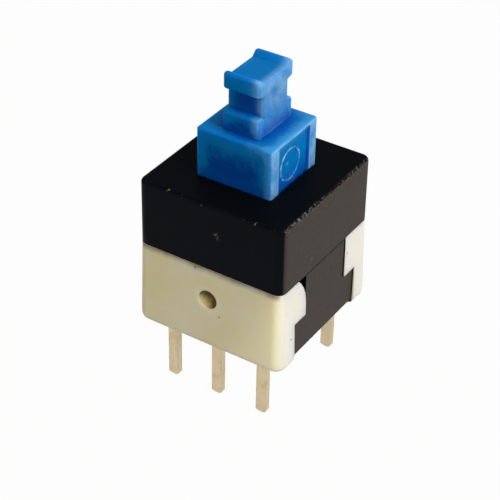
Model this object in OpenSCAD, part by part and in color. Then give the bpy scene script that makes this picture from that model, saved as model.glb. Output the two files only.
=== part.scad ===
// Latching push button switch with two changeover poles, for a printed circuit board.
// Millimetres, +Z up. The origin is the centre of the base's underside, on the board's surface.
// The three pins of a row run along X, and the two rows lie at -Y and +Y.

/* [Housing] */
// Width of the housing across its flat sides, at the parting line
housing_w = 8.5; // [8:0.1:9.5]
// Height of the base, from the board to the parting line
base_h = 4.85; // [4.5:0.05:5.5]
// Height of the cover above the parting line
cover_h = 3.75; // [3.6:0.05:4.8]
// How far each side of the base leans out towards the board
base_draft = 0.14; // [0.02:0.01:0.2]
// How far each side of the cover leans in towards the top
cover_draft = 0.02; // [0.02:0.01:0.1]
// Radius of the housing's upright corners
corner_r = 0.5; // [0.5:0.05:0.7]
// Radius along the cover's top edges
cover_top_r = 0.2; // [0.05:0.01:0.3]
// Radius along the base's lower edges
base_foot_r = 0.45; // [0.05:0.05:0.5]
// Thickness of the cover's top
cover_top_t = 0.8; // [0.6:0.05:1]
// Thickness of the cover's sides
cover_wall_t = 0.5; // [0.4:0.05:0.55]
// Thickness of the base's floor
floor_t = 1; // [0.8:0.05:1.1]
// Thickness of the base's front and rear walls, which the terminals stand against
contact_wall_t = 0.775; // [0.6:0.025:0.9]
// Thickness of the base's two guide walls, behind the cover's legs
guide_wall_t = 0.4; // [0.3:0.05:0.45]
// Gap between the top of a guide wall and the inside of the cover's top
guide_wall_gap = 0.25; // [0.1:0.05:1]
// Diameter of the ball-shaped recess left where the gate broke off
gate_d = 1.1; // [0.6:0.05:1.2]
// Depth of the gate recess
gate_depth = 0.4; // [0.2:0.05:0.45]
// Height of the gate recess above the board
gate_z = 3; // [1.6:0.1:3.4]

/* [Cover legs] */
// Width of a leg's neck
neck_w = 3.75; // [3:0.05:4.4]
// Width of a leg's foot, which hooks under the base's ears
foot_w = 5.85; // [5:0.05:6.2]
// Height of the foot's shoulders above the board
foot_top_z = 2.4; // [1.6:0.1:2.8]
// Height of the foot's lower edge above the board
foot_low_z = 0.3; // [0.1:0.05:0.4]
// Thickness of a leg
leg_t = 0.47; // [0.3:0.01:0.5]
// Radius of the foot's lower corners
foot_corner_r = 0.3; // [0.1:0.05:0.6]
// Clearance between a leg and the base
leg_gap = 0.05; // [0.03:0.01:0.1]
// Radius of the rounded ear beside a leg
ear_r = 2.2; // [1.8:0.1:3]
// Height over which the rounded ear curves away, below the parting line
ear_drop = 1.6; // [1:0.05:1.7]

/* [Plunger] */
// Full travel of the plunger
travel = 2.5; // [2:0.1:2.6]
// Travel at which the plunger stays latched down
latch_travel = 1.7; // [1.5:0.05:1.8]
// Width of the square stem along X
stem_x = 4.35; // [4:0.05:4.6]
// Width of the square stem along Y
stem_y = 4.25; // [3.6:0.05:4.3]
// Height of the stem above the cover when released
stem_rise = 2.65; // [2.65:0.01:3.5]
// Clearance between the stem and the hole in the cover
stem_gap = 0.06; // [0.03:0.01:0.12]
// Radius of the stem's upright corners
stem_corner_r = 0.16; // [0.16:0.02:0.4]
// Radius along the stem's top edges
stem_edge_r = 0.12; // [0.05:0.01:0.15]
// Width of each rib that frames the stem's recessed panels
stem_rib_w = 0.7; // [0.4:0.05:1]
// Depth of the recessed panels
panel_depth = 0.14; // [0.1:0.02:0.24]
// Flat left between the top of a panel and the stem's rounded top edge
panel_land = 0.04; // [0.02:0.01:0.2]
// Space between the plunger's body and a guide wall, where the latch pin swings
pin_space = 0.8; // [0.7:0.05:0.9]
// Depth of the body between the two contact carriers
body_y = 4; // [3.6:0.05:4.1]
// Gap between the raised plunger and the inside of the cover's top
stop_gap = 0.02; // [0.01:0.01:0.05]
// Gap left under the plunger at full travel
bottom_gap = 0.15; // [0.05:0.05:0.3]
// Clearance between the contact carriers and the guide walls
carrier_gap = 0.08; // [0.03:0.01:0.1]
// Diameter of the ring-shaped mould mark on the stem
ring_d = 1.8; // [1:0.1:2.2]
// Height of the mould mark above its panel
ring_rise = 0.03; // [0.01:0.01:0.04]
// Width of the mould mark's line
ring_line = 0.1; // [0.05:0.01:0.2]

/* [Cap fitting] */
// Width along X of the T-shaped fitting for a push-on cap
tee_x = 2.1; // [1.6:0.05:2.6]
// Depth of the fitting's shoulder
shoulder_y = 3.05; // [2.8:0.05:3.6]
// Height of the fitting's shoulder
shoulder_h = 1.04; // [0.8:0.02:1.8]
// Depth of the fitting's neck
tee_neck_y = 2.2; // [1.6:0.05:2.5]
// Height of the fitting's neck
tee_neck_h = 1.1; // [0.8:0.02:1.6]
// Depth of the fitting's head
head_y = 3.05; // [2.9:0.05:3.8]
// Height of the fitting's head
head_h = 0.97; // [0.8:0.01:1.4]
// Width of each lip on top of the head
lip_w = 0.26; // [0.22:0.02:0.4]
// Height of the lips
lip_h = 0.26; // [0.1:0.02:0.28]
// Run of the slope from a lip down to the channel between the lips
lip_slope = 0.28; // [0.26:0.02:0.4]
// Radius along the fitting's outer edges
tee_edge_r = 0.15; // [0.1:0.01:0.15]
// Radius of the fitting's inner corners
tee_inner_r = 0.06; // [0.04:0.01:0.1]

/* [Heart cam and latch pin] */
// Diameter of the latch pin's wire
latch_wire_d = 0.4; // [0.3:0.02:0.44]
// Radius of the latch pin's bends, to the middle of the wire
latch_bend_r = 0.32; // [0.3:0.01:0.35]
// Height of the latch pin's pivot above the floor
pivot_rise = 0.5; // [0.4:0.05:0.7]
// Clearance round the latch pin's pivot, on the radius
pivot_gap = 0.03; // [0.02:0.01:0.05]
// Angle through which the latch pin swings over the full travel
pin_swing = 27; // [24:0.5:29]
// Clearance between the latch pin's tip and the sides of its track
track_gap = 0.03; // [0.02:0.01:0.05]
// Height of the track's lowest point above the bottom of the plunger
track_margin = 0.45; // [0.4:0.05:0.6]
// Depth of the track where the tip climbs as the plunger is pressed
press_depth = 0.4; // [0.36:0.02:0.44]
// Each step down that keeps the tip going one way round the heart
track_step = 0.1; // [0.04:0.01:0.12]
// Gap between the end of the tip and the floor of the track
tip_gap = 0.03; // [0.02:0.01:0.06]

/* [Return spring] */
// Outer diameter of the return spring
spring_d = 2.3; // [2.1:0.05:2.4]
// Diameter of its wire
spring_wire_d = 0.24; // [0.2:0.02:0.28]
// Number of turns, counting one closed turn at each end
spring_turns = 10; // [8:1:12]
// Clearance between the spring and its bore, on the radius
spring_gap = 0.15; // [0.1:0.01:0.2]
// Depth of the spring's bore in the plunger
spring_bore_h = 5.75; // [4.5:0.05:6.5]
// Diameter of the post that centres the spring
post_d = 1.4; // [1:0.05:1.5]
// Height of the post above the floor
post_h = 1.3; // [0.6:0.1:2]

/* [Terminals] */
// Clearance between an outer blade and the guide wall beside it, which sets the pins' pitch
blade_side_gap = 0.1; // [0.02:0.01:0.3]
// Width of a pin
pin_w = 0.6; // [0.4:0.05:0.7]
// Thickness of the terminals
pin_t = 0.4; // [0.3:0.05:0.45]
// Length of the pins below the base
pin_l = 3.7; // [2.5:0.1:5]
// Length of the taper at a pin's tip
tip_l = 0.16; // [0.05:0.01:0.3]
// Width of the contact blades inside the base
blade_w = 0.9; // [0.8:0.02:0.92]
// Clearance round a pin in its slot in the floor
slot_gap = 0.02; // [0.01:0.01:0.04]
// Height of the contact blades' tops, below the inside of the cover's top
blade_top_gap = 0.35; // [0.2:0.05:0.6]
// Depth to which the normally closed blade is coined away under its contact
coin_depth = 0.2; // [0.1:0.02:0.25]
// Width of the ribs that part the terminals
barrier_w = 0.8; // [0.5:0.05:0.9]
// Depth of those ribs from the wall
barrier_t = 0.33; // [0.2:0.01:0.36]

/* [Moving contacts] */
// Thickness of the contact spring's sheet
clip_t = 0.1; // [0.08:0.01:0.15]
// Height of the contact spring
clip_h = 1.4; // [1.3:0.05:1.5]
// Width of each bowed finger
finger_w = 0.5; // [0.3:0.05:0.6]
// Slot on each side of a finger
finger_slot = 0.07; // [0.05:0.01:0.1]
// Depth of the carrier's pocket
pocket_depth = 0.3; // [0.2:0.01:0.32]
// Distance between the carrier's face and the fixed blades
carrier_air = 0.22; // [0.15:0.01:0.25]
// Gap between a bowed finger and a fixed blade
contact_gap = 0.04; // [0.02:0.01:0.06]
// Distance from the inside of the cover's top down to the contact point when released
contact_drop = 1.25; // [1.1:0.05:1.5]
// Diameter of the two studs that hold each contact spring
stud_d = 0.5; // [0.3:0.05:0.6]
// Clearance round a stud, on the radius
stud_gap = 0.02; // [0.01:0.01:0.04]

/* [Hidden] */
$fn = 64;

// How far a cutter runs past the face that it opens
over = 1;
// How far two shapes of one piece run into each other
sink = 0.2;
// Straight steps in a quarter of a round edge
arc_steps = 6;

half_w = housing_w / 2;
top_z = base_h + cover_h;
ceiling_z = top_z - cover_top_t;

// Walls that the legs and the blades lie against
leg_in = half_w - cover_wall_t;
guide_out = leg_in - leg_gap;
guide_in = guide_out - guide_wall_t;
guide_top_z = ceiling_z - guide_wall_gap;
blade_back = half_w - contact_wall_t;
blade_face = blade_back - pin_t;
row_spacing = blade_back + blade_face;
pin_pitch = guide_in - blade_side_gap - blade_w / 2;
inner_corner_r = 0.2;

// Plunger, in its released place
body_x = 2 * (guide_in - pin_space);
body_top_z = ceiling_z - stop_gap;
body_low_z = floor_t + travel + bottom_gap;
stem_top_z = top_z + stem_rise;
carrier_x = 2 * (guide_in - carrier_gap);
carrier_face = blade_face - carrier_air;
pocket_floor = carrier_face - pocket_depth;
carrier_chamfer = 0.25;
spring_top_z = body_low_z + spring_bore_h;
bore_d = spring_d + 2 * spring_gap;
bore_mouth = 0.2;
shoulder_top_z = stem_top_z + shoulder_h;
neck_top_z = shoulder_top_z + tee_neck_h;
head_top_z = neck_top_z + head_h;
undercut_slope = 0.08;
panel_top_z = stem_top_z - stem_edge_r - panel_land;
ring_y = -0.2;
ring_z = (top_z + stem_top_z) / 2 - 0.3;

// Heart cam and latch pin
pivot_z = floor_t + pivot_rise;
track_low_z = body_low_z + track_margin;
pin_arm = track_low_z - pivot_z;
pin_x = -(guide_in - pin_space / 2);
tip_x = -body_x / 2 + press_depth - tip_gap;
track_w = latch_wire_d + 2 * track_gap;
press_steps = 6;
heart_top = pin_track(travel);
heart_notch = [0, latch_travel];

// Contacts: the released plunger joins common to NC, and the latched one joins common to NO
blade_top_z = ceiling_z - blade_top_gap;
contact_z = ceiling_z - contact_drop;
nc_low_z = contact_z - clip_h / 2;
no_top_z = contact_z - latch_travel + 0.5;
finger_r = blade_face - contact_gap - pocket_floor;
clip_x = 2 * pin_pitch + finger_w + 2 * finger_slot;
clip_fit = 0.05;
poles = [-pin_pitch, 0, pin_pitch];

plastic_cream = "#dcd5bb";
plastic_black = "#17191b";
plastic_blue = "#1468b4";
tinned_brass = "#c7b08d";
spring_steel = "#b5b8bb";
contact_silver = "#d5d3cc";

// Where the pin's tip lies on the plunger, from the track's lowest point, at a given travel
function pin_track(s) = let (a = pin_swing * s / travel) [pin_arm * sin(a), s - pin_arm * (1 - cos(a))];

function unit(v) = v / norm(v);
function half_turn(a) = a > 180 ? a - 360 : a < -180 ? a + 360 : a;

// The points that round one corner [x, y, radius] of an outline, between its neighbours a and b
function round_corner(a, c, b) =
    let (
        v = [c[0], c[1]],
        to_a = unit([a[0], a[1]] - v),
        to_b = unit([b[0], b[1]] - v),
        half = acos(to_a * to_b) / 2,
        centre = v + unit(to_a + to_b) * c[2] / sin(half),
        from = v + to_a * c[2] / tan(half) - centre,
        to = v + to_b * c[2] / tan(half) - centre,
        a0 = atan2(from[1], from[0]),
        turn = half_turn(atan2(to[1], to[0]) - a0)
    )
    c[2] == 0 ? [v] : [
        for (i = [0 : arc_steps])
            centre + c[2] * [cos(a0 + turn * i / arc_steps), sin(a0 + turn * i / arc_steps)]
    ];

// An outline from corners [x, y, radius]
function rounded(c) =
    let (n = len(c)) [for (i = [0 : n - 1]) each round_corner(c[(i + n - 1) % n], c[i], c[(i + 1) % n])];

// Both halves of an outline that is the same on each side of its middle, from its right half
function both_sides(c) = concat(c, [for (i = [len(c) - 1 : -1 : 0]) [-c[i][0], c[i][1], c[i][2]]]);

function rectangle(x, y, r) = both_sides([[x / 2, -y / 2, r], [x / 2, y / 2, r]]);

// A YZ outline, run along X
module along_x(x0, x1) {
    translate([x0, 0, 0]) rotate([90, 0, 90]) linear_extrude(x1 - x0) children();
}

// An XZ outline, run along Y
module along_y(y0, y1) {
    translate([0, y1, 0]) rotate([90, 0, 0]) linear_extrude(y1 - y0) children();
}

// A box that is centred on the Z axis, from z0 to z1
module upright_box(x, y, z0, z1) {
    translate([-x / 2, -y / 2, z0]) cube([x, y, z1 - z0]);
}

// The outline of a block's side, w wide at its foot, whose edges lean in and are rounded below or above
module leaning_side(w, lean, z0, z1, low_r, top_r) {
    polygon(rounded(both_sides([[w / 2, z0, low_r], [w / 2 - lean, z1, top_r]])));
}

// A square block with such sides, and upright corners that have radius r at the foot
module moulded_block(low_x, low_y, lean, z0, z1, r, low_r, top_r) {
    flat_x = low_x / 2 - r;
    flat_y = low_y / 2 - r;
    along_x(-flat_x, flat_x) leaning_side(low_y, lean, z0, z1, low_r, top_r);
    along_y(-flat_y, flat_y) leaning_side(low_x, lean, z0, z1, low_r, top_r);
    for (i = [0, 1], j = [0, 1]) mirror([i, 0, 0]) mirror([0, j, 0])
        translate([flat_x, flat_y, 0]) rotate_extrude(angle = 90)
            polygon(rounded([[0, z0, 0], [r, z0, low_r], [r - lean, z1, top_r], [0, z1, 0]]));
}

// The T-shaped outline of a leg, or with a gap and a run past the edges, of the recess that takes it
module leg_outline(gap, low_z, high_z, low_r) {
    polygon(rounded(both_sides([
        [foot_w / 2 + gap, low_z, low_r],
        [foot_w / 2 + gap, foot_top_z + gap, 0],
        [neck_w / 2 + gap, foot_top_z + gap, 0],
        [neck_w / 2 + gap, high_z, 0]
    ])));
}

// What the rounded ear leaves open beside a leg's neck
module ear_relief_outline() {
    edge_y = neck_w / 2 + leg_gap;
    bend = asin(ear_drop / ear_r);
    polygon(concat(
        [
            for (i = [0 : arc_steps]) let (a = bend * i / arc_steps)
                [-edge_y - ear_r * (1 - cos(a)), base_h - ear_drop + ear_r * sin(a)]
        ],
        [[-edge_y - ear_r * (1 - cos(bend)), base_h + over], [0, base_h + over], [0, base_h - ear_drop]]
    ));
}

module pin_slot(x) {
    slot_x = pin_w + 2 * slot_gap;
    slot_y = pin_t + 2 * slot_gap;
    translate([x - slot_x / 2, row_spacing / 2 - slot_y / 2, -over]) cube([slot_x, slot_y, floor_t + 2 * over]);
}

module base() {
    foot_x = housing_w + 2 * base_draft;
    color(plastic_cream) difference() {
        union() {
            difference() {
                moulded_block(foot_x, foot_x, base_draft, 0, base_h, corner_r + base_draft, base_foot_r, 0);
                upright_box(2 * guide_in, 2 * blade_back, floor_t, base_h + over);
            }
            // Guide walls, which run on up inside the cover
            for (side = [0, 180]) rotate(side)
                translate([guide_in, -blade_face, base_h - sink])
                    cube([guide_wall_t, 2 * blade_face, guide_top_z - base_h + sink]);
            // Barriers between the terminals
            for (side = [0, 1], x = [-pin_pitch / 2, pin_pitch / 2]) mirror([0, side, 0])
                translate([x - barrier_w / 2, blade_back - barrier_t, floor_t - sink])
                    cube([barrier_w, barrier_t + sink, base_h - floor_t + sink]);
            translate([0, 0, floor_t - sink]) cylinder(d = post_d, h = post_h + sink);
        }
        for (side = [0, 180]) rotate(side) along_x(guide_out, half_w + over) {
            leg_outline(leg_gap, -over, base_h + over, 0);
            ear_relief_outline();
        }
        for (side = [0, 1], x = poles) mirror([0, side, 0]) pin_slot(x);
        // Bearing hole of the latch pin
        translate([-guide_out - over, 0, pivot_z]) rotate([0, 90, 0])
            cylinder(d = latch_wire_d + 2 * pivot_gap, h = guide_wall_t + 2 * over);
        // Gate recess
        translate([0, gate_depth - half_w - gate_d / 2, gate_z]) sphere(d = gate_d);
    }
}

module cover() {
    hole_r = stem_corner_r + stem_gap;
    color(plastic_black) difference() {
        union() {
            moulded_block(housing_w, housing_w, cover_draft, base_h, top_z, corner_r, 0, cover_top_r);
            for (side = [0, 180]) rotate(side) along_x(leg_in, leg_in + leg_t)
                leg_outline(0, foot_low_z, base_h + sink, foot_corner_r);
        }
        translate([0, 0, base_h - over]) linear_extrude(ceiling_z - base_h + over)
            polygon(rounded(rectangle(2 * leg_in, 2 * leg_in, inner_corner_r)));
        translate([0, 0, ceiling_z - over]) linear_extrude(cover_top_t + 2 * over)
            polygon(rounded(rectangle(stem_x + 2 * stem_gap, stem_y + 2 * stem_gap, hole_r)));
    }
}

function heading(p, q) = atan2(q[1] - p[1], q[0] - p[0]);
function toward(a) = [cos(a), sin(a)];

// The heading of a path at its point i
function course(path, i) =
    let (before = max(i, 1), after = min(i, len(path) - 2))
    (heading(path[before - 1], path[before]) + heading(path[after], path[after + 1])) / 2;

// The outline of a groove with round ends, of half width r along a path
function groove(path, r) =
    let (n = len(path), first = course(path, 0), last = course(path, n - 1), turns = 2 * arc_steps)
    concat(
        [for (i = [0 : n - 1]) path[i] + r * toward(course(path, i) - 90)],
        [for (k = [1 : turns - 1]) path[n - 1] + r * toward(last - 90 + 180 * k / turns)],
        [for (i = [n - 1 : -1 : 0]) path[i] + r * toward(course(path, i) + 90)],
        [for (k = [1 : turns - 1]) path[0] + r * toward(first + 90 + 180 * k / turns)]
    );

// A stretch of the cam's track, cut to an even depth
module track_run(path, depth) {
    along_x(-body_x / 2 - over, -body_x / 2 + depth) polygon(groove(path, track_w / 2));
}

// The endless track round the heart: up the press side, down into the notch where the tip latches,
// out past the notch, and back down a ramp to the start, with a step down at each change of course
module heart_track() {
    far_top = [-heart_top[0], heart_top[1]];
    latched_depth = press_depth + track_step;
    deepest = latched_depth + track_step;
    ramp_foot = press_depth - track_step;
    face = -body_x / 2;
    translate([0, 0, track_low_z]) {
        track_run([for (i = [0 : press_steps]) pin_track(travel * i / press_steps)], press_depth);
        track_run([heart_top, heart_notch], latched_depth);
        track_run([heart_notch, far_top], deepest);
        intersection() {
            track_run([far_top, [0, 0]], deepest);
            along_y(-body_y / 2, body_y / 2) polygon([
                [face - over, -track_w], [face + ramp_foot, -track_w],
                [face + deepest, far_top[1]], [face + deepest, far_top[1] + track_w],
                [face - over, far_top[1] + track_w]
            ]);
        }
    }
}

// The T-shaped fitting on top of the stem, which a cap snaps over
module cap_fitting() {
    lip_in = head_y / 2 - lip_w;
    intersection() {
        along_x(-tee_x / 2, tee_x / 2) polygon(rounded(both_sides([
            [shoulder_y / 2, stem_top_z - sink, 0],
            [shoulder_y / 2, shoulder_top_z, tee_edge_r],
            [tee_neck_y / 2, shoulder_top_z, tee_inner_r],
            [tee_neck_y / 2, neck_top_z, tee_inner_r],
            [head_y / 2, neck_top_z + undercut_slope, tee_edge_r],
            [head_y / 2, head_top_z, tee_edge_r],
            [lip_in, head_top_z, tee_edge_r],
            [lip_in - lip_slope, head_top_z - lip_h, tee_edge_r]
        ])));
        along_y(-head_y, head_y) polygon(rounded(both_sides([
            [tee_x / 2, stem_top_z - sink, 0],
            [tee_x / 2, head_top_z, tee_edge_r]
        ])));
    }
}

// The lower body, with the carriers for the contact springs at its front and rear
module plunger_body() {
    upright_box(body_x, body_y, body_low_z, body_top_z);
    intersection() {
        linear_extrude(top_z) polygon(rounded(rectangle(carrier_x, 2 * carrier_face, 0)));
        along_x(-carrier_x / 2, carrier_x / 2) polygon(rounded(both_sides([
            [carrier_face - carrier_chamfer, body_low_z, 0],
            [carrier_face, body_low_z + carrier_chamfer, 0],
            [carrier_face, body_top_z, 0]
        ])));
        for (side = [0, 1]) mirror([0, side, 0])
            translate([-carrier_x / 2, body_y / 2 - sink, 0]) cube([carrier_x, carrier_face, top_z]);
    }
}

module plunger() {
    panel_y = stem_y - 2 * stem_rib_w;
    color(plastic_blue) {
        difference() {
            union() {
                plunger_body();
                moulded_block(stem_x, stem_y, 0, body_top_z - sink, stem_top_z, stem_corner_r, 0, stem_edge_r);
                cap_fitting();
            }
            // Recessed panels on the stem
            for (side = [0, 180]) rotate(side)
                translate([stem_x / 2 - panel_depth, -panel_y / 2, body_top_z])
                    cube([over, panel_y, panel_top_z - body_top_z]);
            // Pockets for the contact springs
            for (side = [0, 1]) mirror([0, side, 0])
                translate([-carrier_x, pocket_floor, contact_z - clip_h / 2 - clip_fit])
                    cube([2 * carrier_x, over, clip_h + 2 * clip_fit]);
            // Spring bore, with a lead-in at its mouth
            translate([0, 0, body_low_z - over]) cylinder(d = bore_d, h = spring_top_z - body_low_z + over);
            translate([0, 0, body_low_z - sink])
                cylinder(d1 = bore_d + 2 * (bore_mouth + sink), d2 = bore_d, h = bore_mouth + sink);
            heart_track();
        }
        // Studs that hold the contact springs
        for (side = [0, 1], x = [-pin_pitch / 2, pin_pitch / 2]) mirror([0, side, 0])
            translate([x, pocket_floor - sink, contact_z]) rotate([-90, 0, 0])
                cylinder(d = stud_d, h = sink + pocket_depth);
        // Ring-shaped mould mark
        translate([stem_x / 2 - panel_depth - sink, ring_y, ring_z]) rotate([0, 90, 0]) difference() {
            cylinder(d = ring_d, h = sink + ring_rise);
            translate([0, 0, -over]) cylinder(d = ring_d - 2 * ring_line, h = sink + ring_rise + 2 * over);
        }
    }
}

// Height of the spring's wire after so many turns: a closed turn at each end and an even pitch between
function coil_z(turn) =
    let (
        run = spring_top_z - floor_t - spring_wire_d,
        pitch = (run - 2 * spring_wire_d) / (spring_turns - 2)
    )
    turn < 1 ? turn * spring_wire_d
    : turn > spring_turns - 1 ? run - (spring_turns - turn) * spring_wire_d
    : spring_wire_d + (turn - 1) * pitch;

module return_spring() {
    sides = 8;
    steps = 18;
    rings = spring_turns * steps;
    wire_r = spring_wire_d / 2;
    coil_r = spring_d / 2 - wire_r;
    points = [
        for (i = [0 : rings], k = [0 : sides - 1])
            let (a = 360 * i / steps, b = 360 * k / sides, r = coil_r + wire_r * cos(b))
            [r * cos(a), r * sin(a), floor_t + wire_r + coil_z(i / steps) + wire_r * sin(b)]
    ];
    walls = [
        for (i = [0 : rings - 1], k = [0 : sides - 1])
            let (a = i * sides + k, b = i * sides + (k + 1) % sides)
            each [[a, b, a + sides], [b, b + sides, a + sides]]
    ];
    first_end = [for (k = [sides - 1 : -1 : 0]) k];
    last_end = [for (k = [0 : sides - 1]) rings * sides + k];
    color(spring_steel) polyhedron(points, concat([first_end], walls, [last_end]));
}

// A stretch of the latch pin's wire along X
module wire_along_x(x0, x1, z) {
    translate([x0, 0, z]) rotate([0, 90, 0]) cylinder(d = latch_wire_d, h = x1 - x0);
}

// A quarter bend of the wire about a centre in the XZ plane, from the angle given
module wire_bend(x, z, from) {
    translate([x, 0, z]) rotate([90, 0, 0]) rotate([0, 0, from]) rotate_extrude(angle = 90)
        translate([latch_bend_r, 0]) circle(d = latch_wire_d);
}

module latch_pin() {
    low_end_x = -guide_out + pivot_gap;
    color(spring_steel) {
        wire_along_x(low_end_x, pin_x - latch_bend_r, pivot_z);
        wire_bend(pin_x - latch_bend_r, pivot_z + latch_bend_r, 270);
        translate([pin_x, 0, pivot_z + latch_bend_r])
            cylinder(d = latch_wire_d, h = pin_arm - 2 * latch_bend_r);
        wire_bend(pin_x + latch_bend_r, track_low_z - latch_bend_r, 90);
        wire_along_x(pin_x + latch_bend_r, tip_x, track_low_z);
    }
}

// One moving contact of the rear pole: a flat spring with three bowed fingers
module contact_spring() {
    window_w = finger_w + 2 * finger_slot;
    window_h = 2 * finger_r - clip_t;
    difference() {
        translate([-clip_x / 2, pocket_floor, contact_z - clip_h / 2]) cube([clip_x, clip_t, clip_h]);
        for (x = poles) translate([x - window_w / 2, pocket_floor - over, contact_z - window_h / 2])
            cube([window_w, clip_t + 2 * over, window_h]);
        for (x = [-pin_pitch / 2, pin_pitch / 2])
            translate([x, pocket_floor - over, contact_z]) rotate([-90, 0, 0])
                cylinder(d = stud_d + 2 * stud_gap, h = clip_t + 2 * over);
    }
    for (x = poles) intersection() {
        translate([x - finger_w / 2, pocket_floor, contact_z]) rotate([0, 90, 0]) difference() {
            cylinder(r = finger_r, h = finger_w);
            translate([0, 0, -over]) cylinder(r = finger_r - clip_t, h = finger_w + 2 * over);
        }
        translate([x - finger_w, pocket_floor, contact_z - finger_r]) cube([2 * finger_w, finger_r, 2 * finger_r]);
    }
}

module contact_spring_front() {
    color(contact_silver) mirror([0, 1, 0]) contact_spring();
}

module contact_spring_rear() {
    color(contact_silver) contact_spring();
}

// A rear terminal: a pin with a tapered tip and, above the floor, a wider contact blade
module terminal(x, blade_z) {
    intersection() {
        translate([x, 0, 0]) along_y(blade_face, blade_back) polygon(rounded(both_sides([
            [pin_w / 2 - tip_l, -pin_l, 0],
            [pin_w / 2, -pin_l + tip_l, 0],
            [pin_w / 2, floor_t, 0],
            [blade_w / 2, floor_t, 0],
            [blade_w / 2, blade_z, 0]
        ])));
        translate([0, row_spacing / 2, 0]) along_x(x - blade_w, x + blade_w) polygon(rounded(both_sides([
            [pin_t / 2 - tip_l / 2, -pin_l, 0],
            [pin_t / 2, -pin_l + tip_l, 0],
            [pin_t / 2, blade_z, 0]
        ])));
    }
}

// The normally closed terminal, coined thin below its contact so that the finger leaves it
module terminal_nc() {
    difference() {
        terminal(-pin_pitch, blade_top_z);
        along_x(-pin_pitch - blade_w, -pin_pitch + blade_w) polygon([
            [blade_face - over, floor_t + coin_depth],
            [blade_face, floor_t + coin_depth],
            [blade_face + coin_depth, floor_t + 2 * coin_depth],
            [blade_face + coin_depth, nc_low_z - coin_depth],
            [blade_face, nc_low_z],
            [blade_face - over, nc_low_z]
        ]);
    }
}

module terminal_nc_front() {
    color(tinned_brass) mirror([0, 1, 0]) terminal_nc();
}

module terminal_common_front() {
    color(tinned_brass) mirror([0, 1, 0]) terminal(0, blade_top_z);
}

module terminal_no_front() {
    color(tinned_brass) mirror([0, 1, 0]) terminal(pin_pitch, no_top_z);
}

module terminal_nc_rear() {
    color(tinned_brass) terminal_nc();
}

module terminal_common_rear() {
    color(tinned_brass) terminal(0, blade_top_z);
}

module terminal_no_rear() {
    color(tinned_brass) terminal(pin_pitch, no_top_z);
}

base();
cover();
plunger();
return_spring();
latch_pin();
contact_spring_front();
contact_spring_rear();
terminal_nc_front();
terminal_common_front();
terminal_no_front();
terminal_nc_rear();
terminal_common_rear();
terminal_no_rear();
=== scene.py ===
# Looks for the latching push button switch: moulded plastics, tinned pins and a pale studio.
import math

import bpy
from mathutils import Matrix, Vector


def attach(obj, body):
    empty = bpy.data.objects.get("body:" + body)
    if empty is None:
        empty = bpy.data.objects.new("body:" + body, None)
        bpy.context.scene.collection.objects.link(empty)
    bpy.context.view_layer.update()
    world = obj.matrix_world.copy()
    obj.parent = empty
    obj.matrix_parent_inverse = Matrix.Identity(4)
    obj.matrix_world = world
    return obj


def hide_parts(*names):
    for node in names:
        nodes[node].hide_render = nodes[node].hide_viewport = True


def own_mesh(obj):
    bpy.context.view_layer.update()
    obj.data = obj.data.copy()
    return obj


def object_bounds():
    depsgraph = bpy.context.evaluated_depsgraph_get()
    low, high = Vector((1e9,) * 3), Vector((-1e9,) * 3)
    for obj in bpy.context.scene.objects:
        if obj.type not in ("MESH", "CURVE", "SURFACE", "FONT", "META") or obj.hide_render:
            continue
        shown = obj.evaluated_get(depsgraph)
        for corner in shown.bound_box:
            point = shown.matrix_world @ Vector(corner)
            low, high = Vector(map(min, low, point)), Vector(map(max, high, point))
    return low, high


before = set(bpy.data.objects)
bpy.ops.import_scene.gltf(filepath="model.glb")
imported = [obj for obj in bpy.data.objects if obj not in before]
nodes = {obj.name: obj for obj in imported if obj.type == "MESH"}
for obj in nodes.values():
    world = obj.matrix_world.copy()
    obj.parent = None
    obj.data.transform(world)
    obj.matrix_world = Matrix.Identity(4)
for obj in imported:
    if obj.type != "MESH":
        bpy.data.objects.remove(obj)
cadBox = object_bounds()
mm = 0.001
# The height of the plunger's stem in millimetres, which its shape and its finish share
stemTop = 11.25
# Two points closer than this, in millimetres, are in the same place
nearMm = 0.001
print("frame loaded:", len(nodes), "nodes")


# Small helpers

def linear(hexColour):
    parts = [int(hexColour[i:i + 2], 16) / 255 for i in (1, 3, 5)]
    return [p / 12.92 if p <= 0.04045 else ((p + 0.055) / 1.055) ** 2.4 for p in parts] + [1]


def selectOnly(piece):
    bpy.ops.object.select_all(action="DESELECT")
    piece.select_set(True)
    bpy.context.view_layer.objects.active = piece


# An input takes a value, a hex colour, a socket, or a node, which gives its first output in use
def addNode(tree, kind, inputs=None, **settings):
    node = tree.nodes.new("ShaderNode" + kind)
    for name, value in settings.items():
        setattr(node, name, value)
    for socket, value in (inputs or {}).items():
        if isinstance(value, str):
            value = linear(value)
        if isinstance(value, bpy.types.Node):
            value = next(output for output in value.outputs if output.enabled)
        if isinstance(value, bpy.types.NodeSocket):
            tree.links.new(value, node.inputs[socket])
        else:
            node.inputs[socket].default_value = value
    return node


def startMaterial(name):
    material = bpy.data.materials.new(name)
    material.use_nodes = True
    material.node_tree.nodes.clear()
    return material, material.node_tree


# The point on the piece in millimetres, so that lengths in the materials are in millimetres too
def placeOnPiece(tree):
    point = addNode(tree, "TexCoord").outputs["Object"]
    return addNode(tree, "VectorMath", {0: point, "Scale": 1 / mm}, operation="SCALE")


# A mask from 0 to 1. A step is a value that goes smoothly from first to last between low and high,
# or a plain factor, and all the steps are multiplied.
def mask(tree, *steps):
    product = None
    for step in steps:
        if isinstance(step, tuple):
            value, low, high, *ends = step
            first, last = ends or (0, 1)
            step = addNode(tree, "MapRange", {
                "Value": value, "From Min": low, "From Max": high, "To Min": first, "To Max": last},
                interpolation_type="SMOOTHSTEP")
        if product is None:
            product = step
        else:
            product = addNode(tree, "Math", {0: product, 1: step}, operation="MULTIPLY")
    return product


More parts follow.
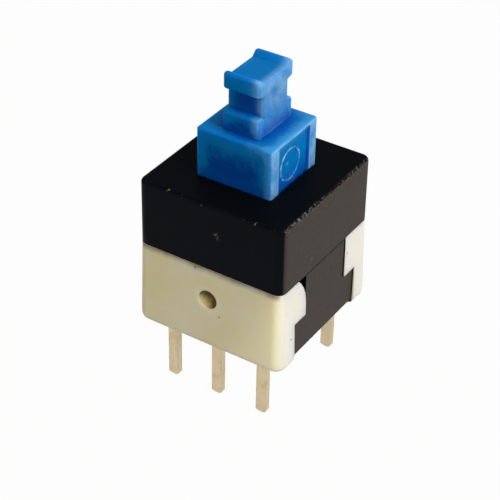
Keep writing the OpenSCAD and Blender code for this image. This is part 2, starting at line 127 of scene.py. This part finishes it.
# The strongest of several masks
def strongest(tree, cover, *others):
    for other in others:
        cover = addNode(tree, "Math", {0: cover, 1: other}, operation="MAXIMUM")
    return cover


# Colours laid over the first one, each where its mask is
def layered(tree, tone, *layers):
    for cover, colour in layers:
        tone = addNode(tree, "Mix", {"Factor": cover, "A": tone, "B": colour}, data_type="RGBA")
    return tone


# A cloudy pattern whose features are sizeMm across, as a value from 0 to 1
def clouds(tree, place, sizeMm, detail=2, rough=0.5, stretch=(1, 1, 1)):
    stretched = addNode(tree, "Mapping", {"Vector": place, "Scale": stretch})
    return addNode(tree, "TexNoise", {
        "Vector": stretched, "Scale": 1 / sizeMm, "Detail": detail, "Roughness": rough})


# How far the surface faces along an axis, either way, as a mask
def facing(tree, axis, low=0.6, high=0.9):
    normal = addNode(tree, "TexCoord").outputs["Normal"]
    part = addNode(tree, "SeparateXYZ", {"Vector": normal}).outputs[axis]
    return mask(tree, (addNode(tree, "Math", {0: part}, operation="ABSOLUTE"), low, high))


# The distance to a point; spread stretches it along each axis, and 0 leaves that axis out
def distanceTo(tree, place, point, spread=(1, 1, 1)):
    stretched = addNode(tree, "Mapping", {"Vector": place, "Scale": spread})
    centre = [p * s for p, s in zip(point, spread)]
    return addNode(tree, "VectorMath", {0: stretched, 1: centre}, operation="DISTANCE")


# A mask that is 1 within a point's reach and fades out past it
def nearPoint(tree, place, point, reach, fade, spread=(1, 1, 1)):
    return mask(tree, (distanceTo(tree, place, point, spread), reach + fade, reach))


# How thin the solid is within a distance, from 0 on a thick flat part to about 0.5 along a square edge
def thinness(tree, distanceMm):
    inner = addNode(tree, "AmbientOcclusion", {"Distance": distanceMm * mm}, inside=True, samples=16)
    return addNode(tree, "Math", {0: 1, 1: inner.outputs["AO"]}, operation="SUBTRACT")


def giveMaterial(piece, material):
    if not piece.material_slots:
        piece.data.materials.append(material)
    for place in piece.material_slots:
        place.material = material


# Materials

# Glass-filled nylon, moulded in a spark-eroded mould: matt, with a painted sheen on the two sides with legs,
# the front and back painted a little lighter, worn pale on its top edges
def makeBlackPlastic():
    look = {"colour": "#06080b", "side": "#0b0f14", "paintedSideSheen": "#433d39", "scuff": "#35332f",
            "worn": "#857d71", "grainMm": 0.07, "grainDepthMm": 0.004, "sheen": 0.03, "roughness": 0.45,
            "edge": 4.23, "top": 8.6, "wear": (0.19, 0.12), "wearAlong": (-1, -3, 0.45, 1),
            "knock": (0.48, -4.23, 7), "scratch": (4.22, -1.46, 5.53)}
    material, tree = startMaterial("black_nylon_moulded")
    place = placeOnPiece(tree)
    x, y, z = addNode(tree, "SeparateXYZ", {"Vector": place}).outputs
    # Handling wears the long top edges in short pale flecks, most at the front
    toEdge = []
    for across in (x, y):
        out = addNode(tree, "Math", {0: across}, operation="ABSOLUTE")
        outAndUp = addNode(tree, "Math", {0: out, 1: z}, operation="ADD")
        corner = look["edge"] + look["top"]
        fromCorner = addNode(tree, "Math", {0: corner, 1: outAndUp}, operation="SUBTRACT")
        toEdge.append(mask(tree, (fromCorner, *look["wear"])))
    flecks = clouds(tree, place, 0.12, 5, 0.75)
    rareFlecks = clouds(tree, place, 0.3, 3, 0.6)
    worn = strongest(tree, mask(tree, toEdge[0], (y, *look["wearAlong"]), (flecks, 0.46, 0.66)),
                     mask(tree, toEdge[1], (rareFlecks, 0.62, 0.74)))
    mottle = clouds(tree, place, 1.1, 5, 0.65)
    # Painted sheen: the two sides with legs are painted paler in clouds, standing in for the lamps' broad
    # reflection on them
    paintedSideSheen = mask(tree, facing(tree, 0, 0.8, 0.96), (mottle, 0.25, 0.6, 0.85, 1),
                  (clouds(tree, place, 0.13, 4, 0.7), 0.3, 0.6, 0.8, 1))
    # A few dull scuffs on the flat sides, one knock on the front and a short scratch beside a leg
    scuffs = mask(tree, 0.5, (clouds(tree, place, 0.45, 5, 0.7, (1, 1, 1.6)), 0.72, 0.8))
    knock = mask(tree, nearPoint(tree, place, look["knock"], 0.1, 0.2),
                 (clouds(tree, place, 0.12, 4, 0.7), 0.5, 0.64, 0, 0.7))
    scratch = nearPoint(tree, place, look["scratch"], 0.015, 0.03, (1, 1, 0.25))
    # The front and back faces are painted a little lighter than the top, as painted light
    tone = layered(tree, look["colour"], (facing(tree, 1), look["side"]), (paintedSideSheen, look["paintedSideSheen"]),
                   (scuffs, look["scuff"]), (strongest(tree, worn, knock, scratch), look["worn"]))
    satin = mask(tree, (mottle, 0.3, 0.7, look["roughness"] - 0.05, look["roughness"] + 0.06))
    roughness = addNode(tree, "Math", {0: worn, 1: 0.15, 2: satin}, operation="MULTIPLY_ADD")
    grain = addNode(tree, "Bump", {"Strength": 0.5, "Distance": look["grainDepthMm"] * mm,
                                   "Height": clouds(tree, place, look["grainMm"])})
    shader = addNode(tree, "BsdfPrincipled", {
        "Base Color": tone, "Roughness": roughness, "Specular IOR Level": look["sheen"], "Normal": grain})
    addNode(tree, "OutputMaterial", {"Surface": shader})
    return material


# Nylon, moulded in its natural cream: light sinks in, and age, dust and dirt mark it; painted light and
# shade stand in for the glow at a corner, the shade of the front and back, in the gate and round the legs
def makeCreamPlastic():
    look = {"colour": "#e9e7dc", "yellowedShade": "#e2daae", "glow": "#fdf4d4", "pale": "#efe8cc",
            "paintedShade": "#604e12", "lit": "#e2d492", "dust": "#8a7d60", "dirt": "#5d5138", "gap": "#33270f",
            "speck": "#6b4a2a", "grainMm": 0.09, "grainDepthMm": 0.005, "sinkMm": 1.1, "sunk": 0.75,
            "front": -4.3, "parting": 4.85, "recessFloor": 3.5, "side": 4.25, "legEdge": 3.2,
            "cornerAcross": (0, 3.6), "cornerAlong": (-2.5, -4), "gate": (0, -4.3, 3), "gateFloor": -3.6,
            "gateRadius": 0.51, "gateSlant": (2.55, 3.15), "tearMm": 0.03, "smear": (-0.77, -4.26, 4.62),
            "specks": [(0.71, -4.33, 2.22), (4.28, 2.15, 3.79), (4.34, -3.31, 1.76)]}
    material, tree = startMaterial("cream_nylon_moulded")
    place = placeOnPiece(tree)
    x, y, z = addNode(tree, "SeparateXYZ", {"Vector": place}).outputs
    outX, outY = [addNode(tree, "Math", {0: part}, operation="ABSOLUTE") for part in (x, y)]
    # Yellowed with age in cloudy patches, and the front and back painted yellower and darker as painted
    # shade
    yellowedAndShaded = mask(tree, (clouds(tree, place, 2.2, 4, 0.55), 0.3, 0.75, 0.45, 0.95),
                (facing(tree, 1, 0.45, 0.95), 0, 1, 0.12, 1))
    # Painted light: the corner towards the brighter side is painted paler, most at its foot, as if light
    # came through the plastic there
    towardsCorner = addNode(tree, "Math", {0: z, 1: -0.4, 2: x}, operation="MULTIPLY_ADD")
    glow = mask(tree, facing(tree, 1, 0.3, 0.8), (y, *look["cornerAlong"]),
                (towardsCorner, *look["cornerAcross"]))
    # Stress whitening round the gate on the front
    stressed = mask(tree, 0.6, nearPoint(tree, place, look["gate"], 0.6, 0.35))
    # Painted light and shade in the gate recess where the gate broke off: its wall painted lit, and its
    # upper side towards +X painted dark as if in shadow
    tear = clouds(tree, place, 0.25, 4, 0.65)
    gateLightAndShade = mask(tree, nearPoint(tree, place, look["gate"], look["gateRadius"], 0.05, (1, 0, 1)),
                    (y, look["front"], look["front"] + 0.02),
                    (y, look["gateFloor"] + 0.1, look["gateFloor"]))
    slant = addNode(tree, "Math", {0: x, 1: z}, operation="ADD")
    ragged = addNode(tree, "Math", {0: tear, 1: 0.6, 2: slant}, operation="MULTIPLY_ADD")
    gateLightAndShadeTone = layered(tree, look["lit"], (mask(tree, (ragged, *look["gateSlant"])), look["paintedShade"]))
    # Dust and a few streaks of dirt under the cover's edge
    nearCover = mask(tree, facing(tree, 1), (z, look["parting"] - 0.4, look["parting"]))
    dust = mask(tree, nearCover, (clouds(tree, place, 0.9, 4, 0.6), 0.35, 0.65, 0.35, 0.85))
    line = mask(tree, (z, look["parting"] - 0.1, look["parting"] - 0.02, 0, 0.6))
    streaks = mask(tree, (clouds(tree, place, 0.22, 5, 0.7, (1, 1, 0.5)), 0.58, 0.7, 0, 0.8))
    smear = mask(tree, nearPoint(tree, place, look["smear"], 0.03, 0.07, (1, 1, 0.4)),
                 (clouds(tree, place, 0.08, 3, 0.7), 0.4, 0.6))
    dirt = strongest(tree, mask(tree, nearCover, strongest(tree, streaks, line)), smear)
    # Painted shade and dirt: the recess walls in the narrow gap round each leg are painted dark
    gap = mask(tree, facing(tree, 1, 0.5, 0.8), (outX, look["recessFloor"], look["recessFloor"] + 0.1),
               (outX, look["side"] + 0.03, look["side"]), (outY, look["legEdge"] + 0.1, look["legEdge"]))
    # Sparse dark specks in the pellets, and three larger ones
    cells = addNode(tree, "TexVoronoi", {"Vector": place, "Scale": 1 / 0.8})
    large = [mask(tree, 0.7, nearPoint(tree, place, point, 0.03, 0.05)) for point in look["specks"]]
    specks = strongest(tree, mask(tree, 0.5, (cells, 0.055, 0.035)), *large)
    tone = layered(tree, look["colour"], (yellowedAndShaded, look["yellowedShade"]), (glow, look["glow"]),
                   (stressed, look["pale"]), (gateLightAndShade, gateLightAndShadeTone), (dust, look["dust"]),
                   (dirt, look["dirt"]), (gap, look["gap"]), (specks, look["speck"]))
    # The gate recess with its painted light and shade, and the gap with its painted shade and dirt, let no
    # light through
    dark = strongest(tree, gateLightAndShade, gap)
    sunk = addNode(tree, "Math", {0: dark, 1: -look["sunk"], 2: look["sunk"]}, operation="MULTIPLY_ADD")
    grain = addNode(tree, "Bump", {"Strength": 0.5, "Distance": look["grainDepthMm"] * mm,
                                   "Height": clouds(tree, place, look["grainMm"])})
    torn = addNode(tree, "Bump", {"Strength": gateLightAndShade, "Distance": look["tearMm"] * mm, "Height": tear,
                                  "Normal": grain})
    shader = addNode(tree, "BsdfPrincipled", {
        "Base Color": tone, "Roughness": mask(tree, (clouds(tree, place, 1.2, 3), 0.3, 0.7, 0.42, 0.55)),
        "Specular IOR Level": 0.25, "Subsurface Weight": sunk, "Subsurface Radius": (1, 0.85, 0.5),
        "Subsurface Scale": look["sinkMm"] * mm, "Normal": torn})
    addNode(tree, "OutputMaterial", {"Surface": shader})
    return material


# Acetal, tinted blue and translucent: thin edges are painted paler and the thick middle deeper as painted
# light and shade, with a painted sheen on the sides that stand proud
def makeBluePlastic():
    look = {"colour": "#0070b3", "paintedShade": "#00429a", "corner": "#004fa6", "clear": "#007cc4",
            "pale": "#4ba0d6", "paintedHaze": "#9dc6e2", "mark": "#b4d3ea", "grainMm": 0.12, "grainDepthMm": 0.004,
            "sinkMm": 0.6, "thinMm": 0.8, "cornerMm": 1.2, "deepTop": 9.3, "deepSide": 0.6, "stemSide": 2.17,
            "headFoot": 13.4, "gripSide": (0.45, 1.05), "paleAcross": (0.1, 1.9),
            "panelFloor": 1.9, "panelTop": 2.1, "ring": (0, -0.2, 9.625), "ringRadius": 0.87}
    material, tree = startMaterial("blue_acetal_translucent")
    place = placeOnPiece(tree)
    x, y, z = addNode(tree, "SeparateXYZ", {"Vector": place}).outputs
    outX = addNode(tree, "Math", {0: x}, operation="ABSOLUTE")
    cloud = clouds(tree, place, 0.9, 5, 0.65)
    # The edge of the painted light along the thin parts is cloudy and grainy
    thin = thinness(tree, look["thinMm"])
    for sizeMm, rough, amount in ((0.12, 0.7, 0.35), (0.7, 0.6, 0.4)):
        ripple = clouds(tree, place, sizeMm, 3, rough)
        ripple = addNode(tree, "Math", {0: ripple, 1: 0.5}, operation="SUBTRACT")
        thin = addNode(tree, "Math", {0: ripple, 1: amount, 2: thin}, operation="MULTIPLY_ADD")
    onStem = (z, stemTop + 0.06, stemTop + 0.01)
    onGrip = (z, stemTop + 0.01, stemTop + 0.06)
    # Painted shade: deeper blue where it is thick on the front and back, lifting towards the stem's sides
    # and top, and deeper in the inner corners
    fromRim = strongest(tree, mask(tree, (outX, look["deepSide"], look["stemSide"], 0, 0.24)),
                        mask(tree, (z, look["deepTop"], stemTop - 0.05, 0, 0.28)))
    lightness = addNode(tree, "Math", {0: thin, 1: mask(tree, fromRim, onStem)}, operation="ADD")
    paintedThickShade = mask(tree, facing(tree, 1), (lightness, 0.32, 0))
    # Painted shade in the inner corners, found by occlusion
    occlusion = addNode(tree, "AmbientOcclusion", {"Distance": look["cornerMm"] * mm}, samples=16)
    openness = occlusion.outputs["AO"]
    cornerShade = mask(tree, (openness, 0.95, 0.55))
    # Painted light: the thin edges are painted paler, as if light came through them, palest towards +X
    edges = mask(tree, 0.7, (thin, 0.1, 0.52))
    paintedEdgeLight = layered(tree, look["clear"], (mask(tree, (x, *look["paleAcross"])), look["pale"]))
    # Painted sheen: a pale haze on the sides that stand proud, but not in the recessed panels, and along the
    # grip's edge, clouded like rubbing
    panel = mask(tree, (outX, look["panelFloor"], look["panelFloor"] + 0.05),
                 (outX, look["panelTop"], look["panelTop"] - 0.03))
    lessOnGrip = strongest(tree, mask(tree, onStem),
                           mask(tree, (z, stemTop + 0.05, look["headFoot"], 0.2, 1)))
    proudSheen = mask(tree, facing(tree, 0), (panel, 1, 0), (cloud, 0.3, 0.7, 0.1, 0.5), lessOnGrip)
    gripEdgeSheen = mask(tree, facing(tree, 0, 0.9, 0.5), onGrip, (x, *look["gripSide"], 0, 0.5),
                      (cloud, 0.3, 0.6, 0.5, 1), (openness, 0.65, 0.95, 0.3, 1))
    # A moulded ring in each panel, picked out by wear in broken arcs
    away = distanceTo(tree, place, look["ring"], (0, 1, 1))
    pastRing = addNode(tree, "Math", {0: away, 1: look["ringRadius"]}, operation="SUBTRACT")
    toRing = addNode(tree, "Math", {0: pastRing}, operation="ABSOLUTE")
    arcs = mask(tree, (toRing, 0.06, 0.02), (clouds(tree, place, 0.45, 4, 0.7), 0.48, 0.62))
    rubs = mask(tree, (away, 0.85, 0.5), (clouds(tree, place, 0.3, 5, 0.75), 0.56, 0.74, 0, 0.7))
    marks = mask(tree, 0.65, panel, strongest(tree, arcs, rubs))
    tone = layered(tree, look["colour"], (paintedThickShade, look["paintedShade"]), (cornerShade, look["corner"]),
                   (edges, paintedEdgeLight), (strongest(tree, proudSheen, gripEdgeSheen), look["paintedHaze"]),
                   (marks, look["mark"]))
    grain = addNode(tree, "Bump", {"Strength": 0.5, "Distance": look["grainDepthMm"] * mm,
                                   "Height": clouds(tree, place, look["grainMm"], 3)})
    shader = addNode(tree, "BsdfPrincipled", {
        "Base Color": tone, "Roughness": mask(tree, (clouds(tree, place, 0.8, 4), 0.3, 0.7, 0.38, 0.52)),
        "Specular IOR Level": 0.08, "Subsurface Weight": 1, "Subsurface Radius": (0.15, 0.45, 1),
        "Subsurface Scale": look["sinkMm"] * mm, "Normal": grain})
    addNode(tree, "OutputMaterial", {"Surface": shader})
    return material


# A rolled or drawn metal: fine lines along one axis, tarnished in patches and in spots along its edges
def makeDrawnMetal(name, look):
    material, tree = startMaterial(name)
    place = placeOnPiece(tree)
    stretch = [0.06 if axis == look["along"] else 1 for axis in range(3)]
    lines = clouds(tree, place, look["lineMm"], 3, 0.6, stretch)
    patches = mask(tree, (clouds(tree, place, 0.7, 4, 0.6), 0.4, 0.75, 0, look["tarnished"]))
    speckle = mask(tree, (clouds(tree, place, 0.07, 3, 0.7), 0.45, 0.7, 0, look["tarnished"] * 0.5))
    onEdge = mask(tree, (thinness(tree, 0.1), 0.15, 0.45),
                  (clouds(tree, place, 0.28, 4, 0.7), 0.48, 0.62, 0, look["tarnished"] * 1.8))
    tone = layered(tree, look["bright"], (strongest(tree, patches, speckle), look["tarnish"]),
                   (onEdge, look["spots"]))
    roughness = mask(tree, (lines, 0.3, 0.7, look["roughness"] - 0.08, look["roughness"] + 0.1))
    drawn = addNode(tree, "Bump", {"Strength": 0.4, "Distance": look["lineDepthMm"] * mm, "Height": lines})
    shader = addNode(tree, "BsdfPrincipled", {
        "Base Color": tone, "Metallic": 1, "Roughness": roughness, "Normal": drawn})
    addNode(tree, "OutputMaterial", {"Surface": shader})
    return material


blackPlastic = makeBlackPlastic()
creamPlastic = makeCreamPlastic()
bluePlastic = makeBluePlastic()
# Thin tin over brass, blanked from strip: dull champagne with rolling lines along the pin
tinnedBrass = makeDrawnMetal("brass_tinned", {
    "bright": "#d6c6a4", "tarnish": "#b39a72", "spots": "#7a4f2c", "roughness": 0.46, "tarnished": 0.5,
    "lineMm": 0.08, "lineDepthMm": 0.004, "along": 2})
# Stainless spring wire, drawn
springSteel = makeDrawnMetal("stainless_wire_drawn", {
    "bright": "#b9bbbd", "tarnish": "#8e8f90", "spots": "#77706a", "roughness": 0.28, "tarnished": 0.3,
    "lineMm": 0.03, "lineDepthMm": 0.004, "along": 2})
# Phosphor bronze sheet with a silver plate, rolled
silveredBronze = makeDrawnMetal("bronze_silver_plated", {
    "bright": "#dcd8cc", "tarnish": "#a89a7c", "spots": "#7d6a4c", "roughness": 0.3, "tarnished": 0.4,
    "lineMm": 0.05, "lineDepthMm": 0.004, "along": 0})
print("materials made")


# Pieces

# The radius on the edges of the moulded and blanked pieces
radiusMm = {"base": 0.05, "cover": 0.04, "pin": 0.03}
# In degrees: faces that join into one flat, edges that get a radius, and faces shaded as one curve
angles = {"flat": 1, "sharp": 28, "curve": 34}


# A copy of a CAD node's shape, its loose triangles joined into whole faces
def copyShape(nodeName, pieceName):
    piece = bpy.data.objects.new(pieceName, nodes[nodeName].data.copy())
    bpy.context.scene.collection.objects.link(piece)
    selectOnly(piece)
    bpy.ops.mesh.customdata_custom_splitnormals_clear()
    bpy.ops.object.mode_set(mode="EDIT")
    bpy.ops.mesh.select_all(action="SELECT")
    bpy.ops.mesh.remove_doubles(threshold=nearMm * mm)
    bpy.ops.mesh.dissolve_limited(angle_limit=math.radians(angles["flat"]))
    bpy.ops.object.mode_set(mode="OBJECT")
    return piece


# Smooth shading that keeps the flats flat
def smoothFlats(piece):
    selectOnly(piece)
    bpy.ops.object.shade_smooth_by_angle(angle=math.radians(angles["curve"]))
    flat = piece.modifiers.new("flats", "WEIGHTED_NORMAL")
    flat.keep_sharp = True
    bpy.ops.object.modifier_apply(modifier="flats")


# Every sharp edge gets a small radius
def softenEdges(piece, radiusMm):
    selectOnly(piece)
    bevel = piece.modifiers.new("edges", "BEVEL")
    bevel.width = radiusMm * mm
    bevel.segments = 3
    bevel.limit_method = "ANGLE"
    bevel.angle_limit = math.radians(angles["sharp"])
    bevel.miter_outer = "MITER_ARC"
    bpy.ops.object.modifier_apply(modifier="edges")
    smoothFlats(piece)


# The grip that a cap snaps over: a slab whose width steps in and out as it rises, with soft ends
def makeGrip():
    size = {"slab": 2.1, "foot": 11.1, "wide": 3.05, "neck": 2.2, "shoulderTop": 12.29, "neckTop": 13.39,
            "headFoot": 13.47, "headTop": 14.36, "lip": 0.26, "slope": 0.28, "channel": 0.26,
            "endRadius": 0.17, "edgeRadius": 0.15, "innerRadius": 0.06}
    lipGap = size["wide"] - 2 * size["lip"]
    # Each step is a width and the height where the slab has it
    steps = [(size["wide"], size["shoulderTop"]), (size["neck"], size["shoulderTop"]),
             (size["neck"], size["neckTop"]), (size["wide"], size["headFoot"]),
             (size["wide"], size["headTop"]), (lipGap, size["headTop"]),
             (lipGap - 2 * size["slope"], size["headTop"] - size["channel"])]
    bpy.ops.object.select_all(action="DESELECT")
    bpy.ops.mesh.primitive_plane_add(size=size["slab"] * mm, location=(0, 0, 0))
    grip = bpy.context.active_object
    bpy.ops.object.mode_set(mode="EDIT")
    bpy.ops.transform.translate(value=(0, 0, size["foot"] * mm))
    width, height = size["wide"], size["foot"]
    bpy.ops.transform.resize(value=(1, width / size["slab"], 1), center_override=(0, 0, height * mm))
    for nextWidth, nextHeight in steps:
        rise = (0, 0, (nextHeight - height) * mm)
        bpy.ops.mesh.extrude_region_move(TRANSFORM_OT_translate={"value": rise})
        bpy.ops.transform.resize(value=(1, nextWidth / width, 1), center_override=(0, 0, nextHeight * mm))
        width, height = nextWidth, nextHeight
    # The two ends become one flat face each
    bpy.ops.mesh.select_mode(type="FACE")
    bpy.ops.mesh.select_all(action="DESELECT")
    bpy.ops.object.mode_set(mode="OBJECT")
    mesh = grip.data
    atEnd = (size["slab"] / 2 - nearMm) * mm
    for face in mesh.polygons:
        ends = [mesh.vertices[i].co.x for i in face.vertices]
        face.select = min(ends) > atEnd or max(ends) < -atEnd
    bpy.ops.object.mode_set(mode="EDIT")
    bpy.ops.mesh.dissolve_faces()
    bpy.ops.mesh.select_all(action="SELECT")
    bpy.ops.mesh.normals_make_consistent(inside=False)
    bpy.ops.object.mode_set(mode="OBJECT")
    # Each edge is bevelled by its own radius, and the ones buried in the stem by none
    weights = mesh.attributes.new("bevel_weight_edge", "FLOAT", "EDGE")
    for edge in mesh.edges:
        a, b = [mesh.vertices[i].co / mm for i in edge.vertices]
        onEnd = abs(a.x - b.x) < nearMm
        outer = abs(a.y) > lipGap / 2 + nearMm
        radius = size["endRadius"] if onEnd else size["edgeRadius"] if outer else size["innerRadius"]
        buried = max(a.z, b.z) < size["foot"] + nearMm
        weights.data[edge.index].value = 0 if buried else radius / size["endRadius"]
    bevel = grip.modifiers.new("edges", "BEVEL")
    bevel.width = size["endRadius"] * mm
    bevel.segments = 5
    bevel.limit_method = "WEIGHT"
    bpy.ops.object.modifier_apply(modifier="edges")
    return grip


# The stem keeps its CAD shape, and the grip with soft ends takes the place of the plain one
def makeButton():
    button = copyShape("plunger", "button_body")
    bpy.ops.object.mode_set(mode="EDIT")
    bpy.ops.mesh.select_mode(type="VERT")
    bpy.ops.mesh.select_all(action="DESELECT")
    bpy.ops.object.mode_set(mode="OBJECT")
    for vertex in button.data.vertices:
        vertex.select = vertex.co.z > (stemTop + nearMm) * mm
    bpy.ops.object.mode_set(mode="EDIT")
    bpy.ops.mesh.delete(type="VERT")
    bpy.ops.mesh.select_non_manifold()
    bpy.ops.mesh.edge_face_add()
    bpy.ops.mesh.select_all(action="SELECT")
    bpy.ops.mesh.dissolve_limited(angle_limit=math.radians(angles["flat"]))
    bpy.ops.object.mode_set(mode="OBJECT")
    grip = makeGrip()
    selectOnly(button)
    join = button.modifiers.new("join", "BOOLEAN")
    join.operation = "UNION"
    join.object = grip
    bpy.ops.object.modifier_apply(modifier="join")
    bpy.data.objects.remove(grip)
    smoothFlats(button)
    return button


def finishPiece(piece, body, material, replaced):
    giveMaterial(piece, material)
    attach(piece, body)
    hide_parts(replaced)


baseShell = copyShape("base", "base_shell")
softenEdges(baseShell, radiusMm["base"])
finishPiece(baseShell, "housing", creamPlastic, "base")
coverShell = copyShape("cover", "cover_shell")
softenEdges(coverShell, radiusMm["cover"])
finishPiece(coverShell, "housing", blackPlastic, "cover")
finishPiece(makeButton(), "plunger", bluePlastic, "plunger")
for name in sorted(nodes):
    if name.startswith("terminal_"):
        pin = copyShape(name, name.replace("terminal", "pin"))
        softenEdges(pin, radiusMm["pin"])
        finishPiece(pin, "housing", tinnedBrass, name)
print("plastic shells and pins made")

# The return spring goes with the plunger, and gets a mesh of its own
coil = copyShape("return_spring", "return_coil")
smoothFlats(coil)
finishPiece(coil, "plunger", springSteel, "return_spring")
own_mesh(coil)

giveMaterial(nodes["latch_pin"], springSteel)
for name in ("contact_spring_front", "contact_spring_rear"):
    giveMaterial(nodes[name], silveredBronze)
print("inner parts finished")


# Studio: a pale floor, three soft lamps and a dim room

studio = {"floorSize": 3, "floorTone": "#b5b0a4", "floorWhite": 0.97, "room": 0.3, "roomTone": "#f4f6ff"}
lamps = {"key": {"turn": 86, "height": 34, "away": 0.35, "size": 0.2, "power": 1.1, "colour": "#fdfcff"},
         "fill": {"turn": -18, "height": 28, "away": 0.4, "size": 0.3, "power": 0.36, "colour": "#fff0d2"},
         "top": {"turn": 150, "height": 75, "away": 0.35, "size": 0.25, "power": 0.25, "colour": "#ffffff"}}
middle = (cadBox[0] + cadBox[1]) / 2


# The direction from the object at a turn and height in degrees; turn 0 is in front, and 90 is at +X
def outward(turn, height):
    turn, height = math.radians(turn), math.radians(height)
    return Vector((math.sin(turn) * math.cos(height), -math.cos(turn) * math.cos(height), math.sin(height)))


bpy.ops.object.select_all(action="DESELECT")
bpy.ops.mesh.primitive_plane_add(size=studio["floorSize"], location=(0, 0, cadBox[0].z))
floor = bpy.context.active_object
floor.name = "floor"
# White paper where it is looked at, and a duller one in the light that it throws back
floorPaper, floorTree = startMaterial("floor_paper")
paper = addNode(floorTree, "BsdfDiffuse", {"Color": studio["floorTone"]})
glow = addNode(floorTree, "Emission", {"Color": "#ffffff", "Strength": 1})
rays = addNode(floorTree, "LightPath").outputs
seen = strongest(floorTree, rays["Is Camera Ray"], rays["Is Glossy Ray"], rays["Is Transmission Ray"])
whiteness = mask(floorTree, studio["floorWhite"], seen)
paperMix = addNode(floorTree, "MixShader", {0: whiteness, 1: paper, 2: glow})
addNode(floorTree, "OutputMaterial", {"Surface": paperMix})
giveMaterial(floor, floorPaper)

world = bpy.data.worlds.new("studio_room")
bpy.context.scene.world = world
world.use_nodes = True
roomTree = world.node_tree
roomTree.nodes.clear()
roomRays = addNode(roomTree, "LightPath").outputs
dim = addNode(roomTree, "Background", {"Color": studio["roomTone"], "Strength": studio["room"]})
white = addNode(roomTree, "Background", {"Color": "#ffffff", "Strength": 1})
roomMix = addNode(roomTree, "MixShader", {0: roomRays["Is Camera Ray"], 1: dim, 2: white})
addNode(roomTree, "OutputWorld", {"Surface": roomMix})

for name, lamp in lamps.items():
    light = bpy.data.lights.new(name + "_lamp", "AREA")
    light.size = lamp["size"]
    light.energy = lamp["power"]
    light.color = linear(lamp["colour"])[:3]
    holder = bpy.data.objects.new(name + "_lamp", light)
    bpy.context.scene.collection.objects.link(holder)
    way = outward(lamp["turn"], lamp["height"])
    holder.location = middle + way * lamp["away"]
    holder.rotation_euler = way.to_track_quat("Z", "Y").to_euler()
print("studio lit")


# Camera, with its turn, height and roll in degrees and its place and lens in millimetres

view = {"turn": 32.287, "height": 35.475, "roll": 1.172, "away": 83.23, "aside": -0.172, "above": 2.875,
        "lens": 113.24, "sensor": 36, "nearest": 5, "farthest": 10000}
back = outward(view["turn"], view["height"])
level = Vector((math.cos(math.radians(view["turn"])), math.sin(math.radians(view["turn"])), 0))
upright = back.cross(level)
roll = math.radians(view["roll"])
across = level * math.cos(roll) + upright * math.sin(roll)
up = upright * math.cos(roll) - level * math.sin(roll)
cameraData = bpy.data.cameras.new("camera")
cameraData.lens = view["lens"]
cameraData.sensor_width = view["sensor"]
cameraData.clip_start = view["nearest"] * mm
cameraData.clip_end = view["farthest"] * mm
camera = bpy.data.objects.new("camera", cameraData)
bpy.context.scene.collection.objects.link(camera)
spot = (across * view["aside"] + up * view["above"] + back * view["away"]) * mm
camera.matrix_world = Matrix((
    (across.x, up.x, back.x, spot.x), (across.y, up.y, back.y, spot.y),
    (across.z, up.z, back.z, spot.z), (0, 0, 0, 1)))
bpy.context.scene.camera = camera
bpy.context.scene.view_settings.view_transform = "Standard"
print("camera set")
